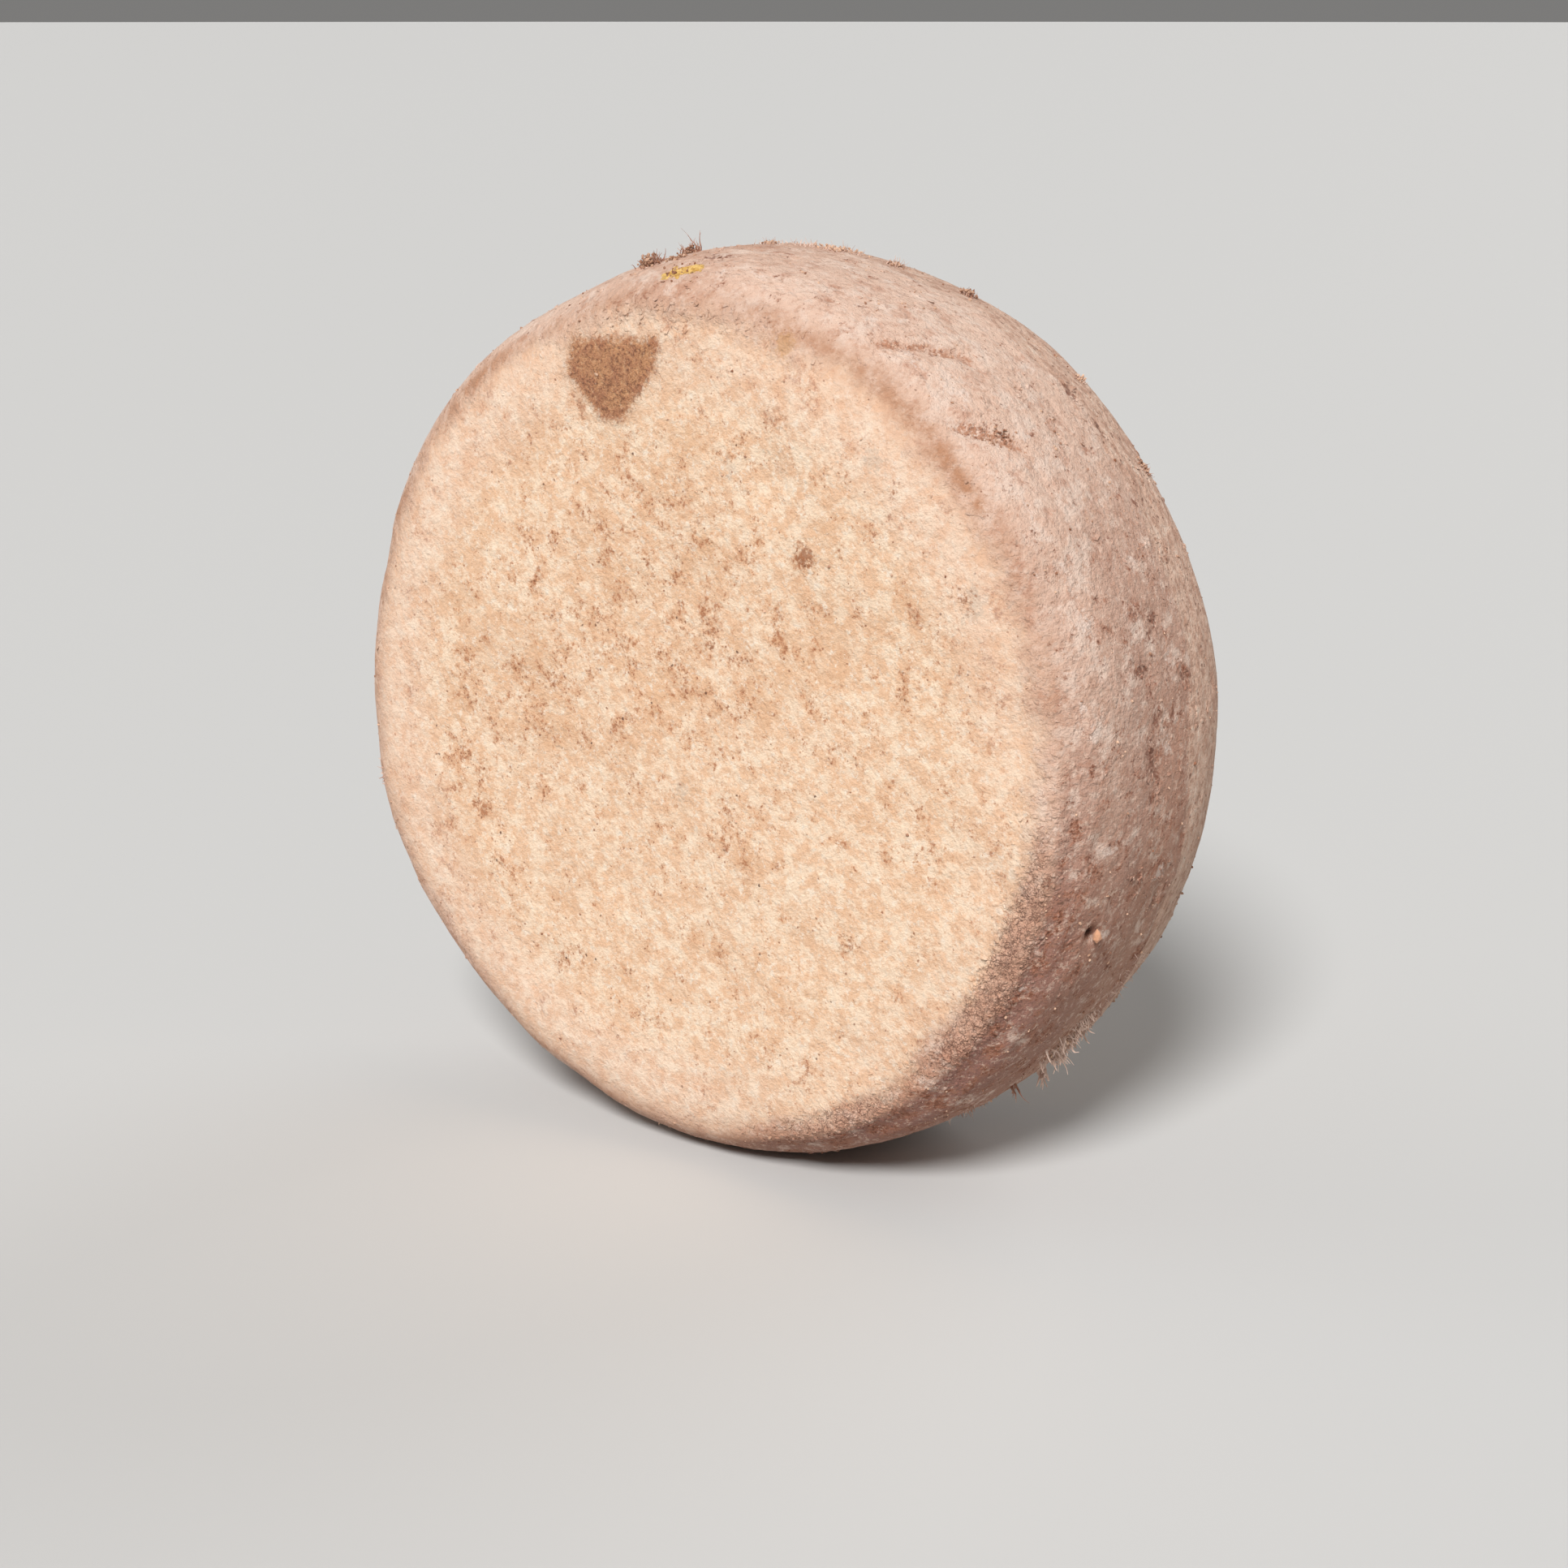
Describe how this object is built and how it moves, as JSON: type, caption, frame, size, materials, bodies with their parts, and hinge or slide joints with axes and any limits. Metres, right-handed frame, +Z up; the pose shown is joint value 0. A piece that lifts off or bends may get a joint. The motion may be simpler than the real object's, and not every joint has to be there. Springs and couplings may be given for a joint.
{
  "type": "cheese wheel",
  "caption": "Whole round of semi-hard cheese with a dusty natural rind, flat faces, soft shoulders and a bulging rim, standing on its edge.",
  "frame": {"origin": "middle of the small flat foot on the rim, where the wheel stands on its edge", "axes": "+Z up, the wheel's axis along Y, its shown face looking towards -Y, +X to the right of someone who looks at that face"},
  "size_m": [0.2599, 0.0916, 0.2593],
  "materials": {
    "rind": "dry, dusty natural rind: mottled cream faces and a pinkish-brown rim with pale bloom, fully matte"
  },
  "bodies": {
    "root": {"cheese_wheel": "rind"}
  },
  "joints": []
}
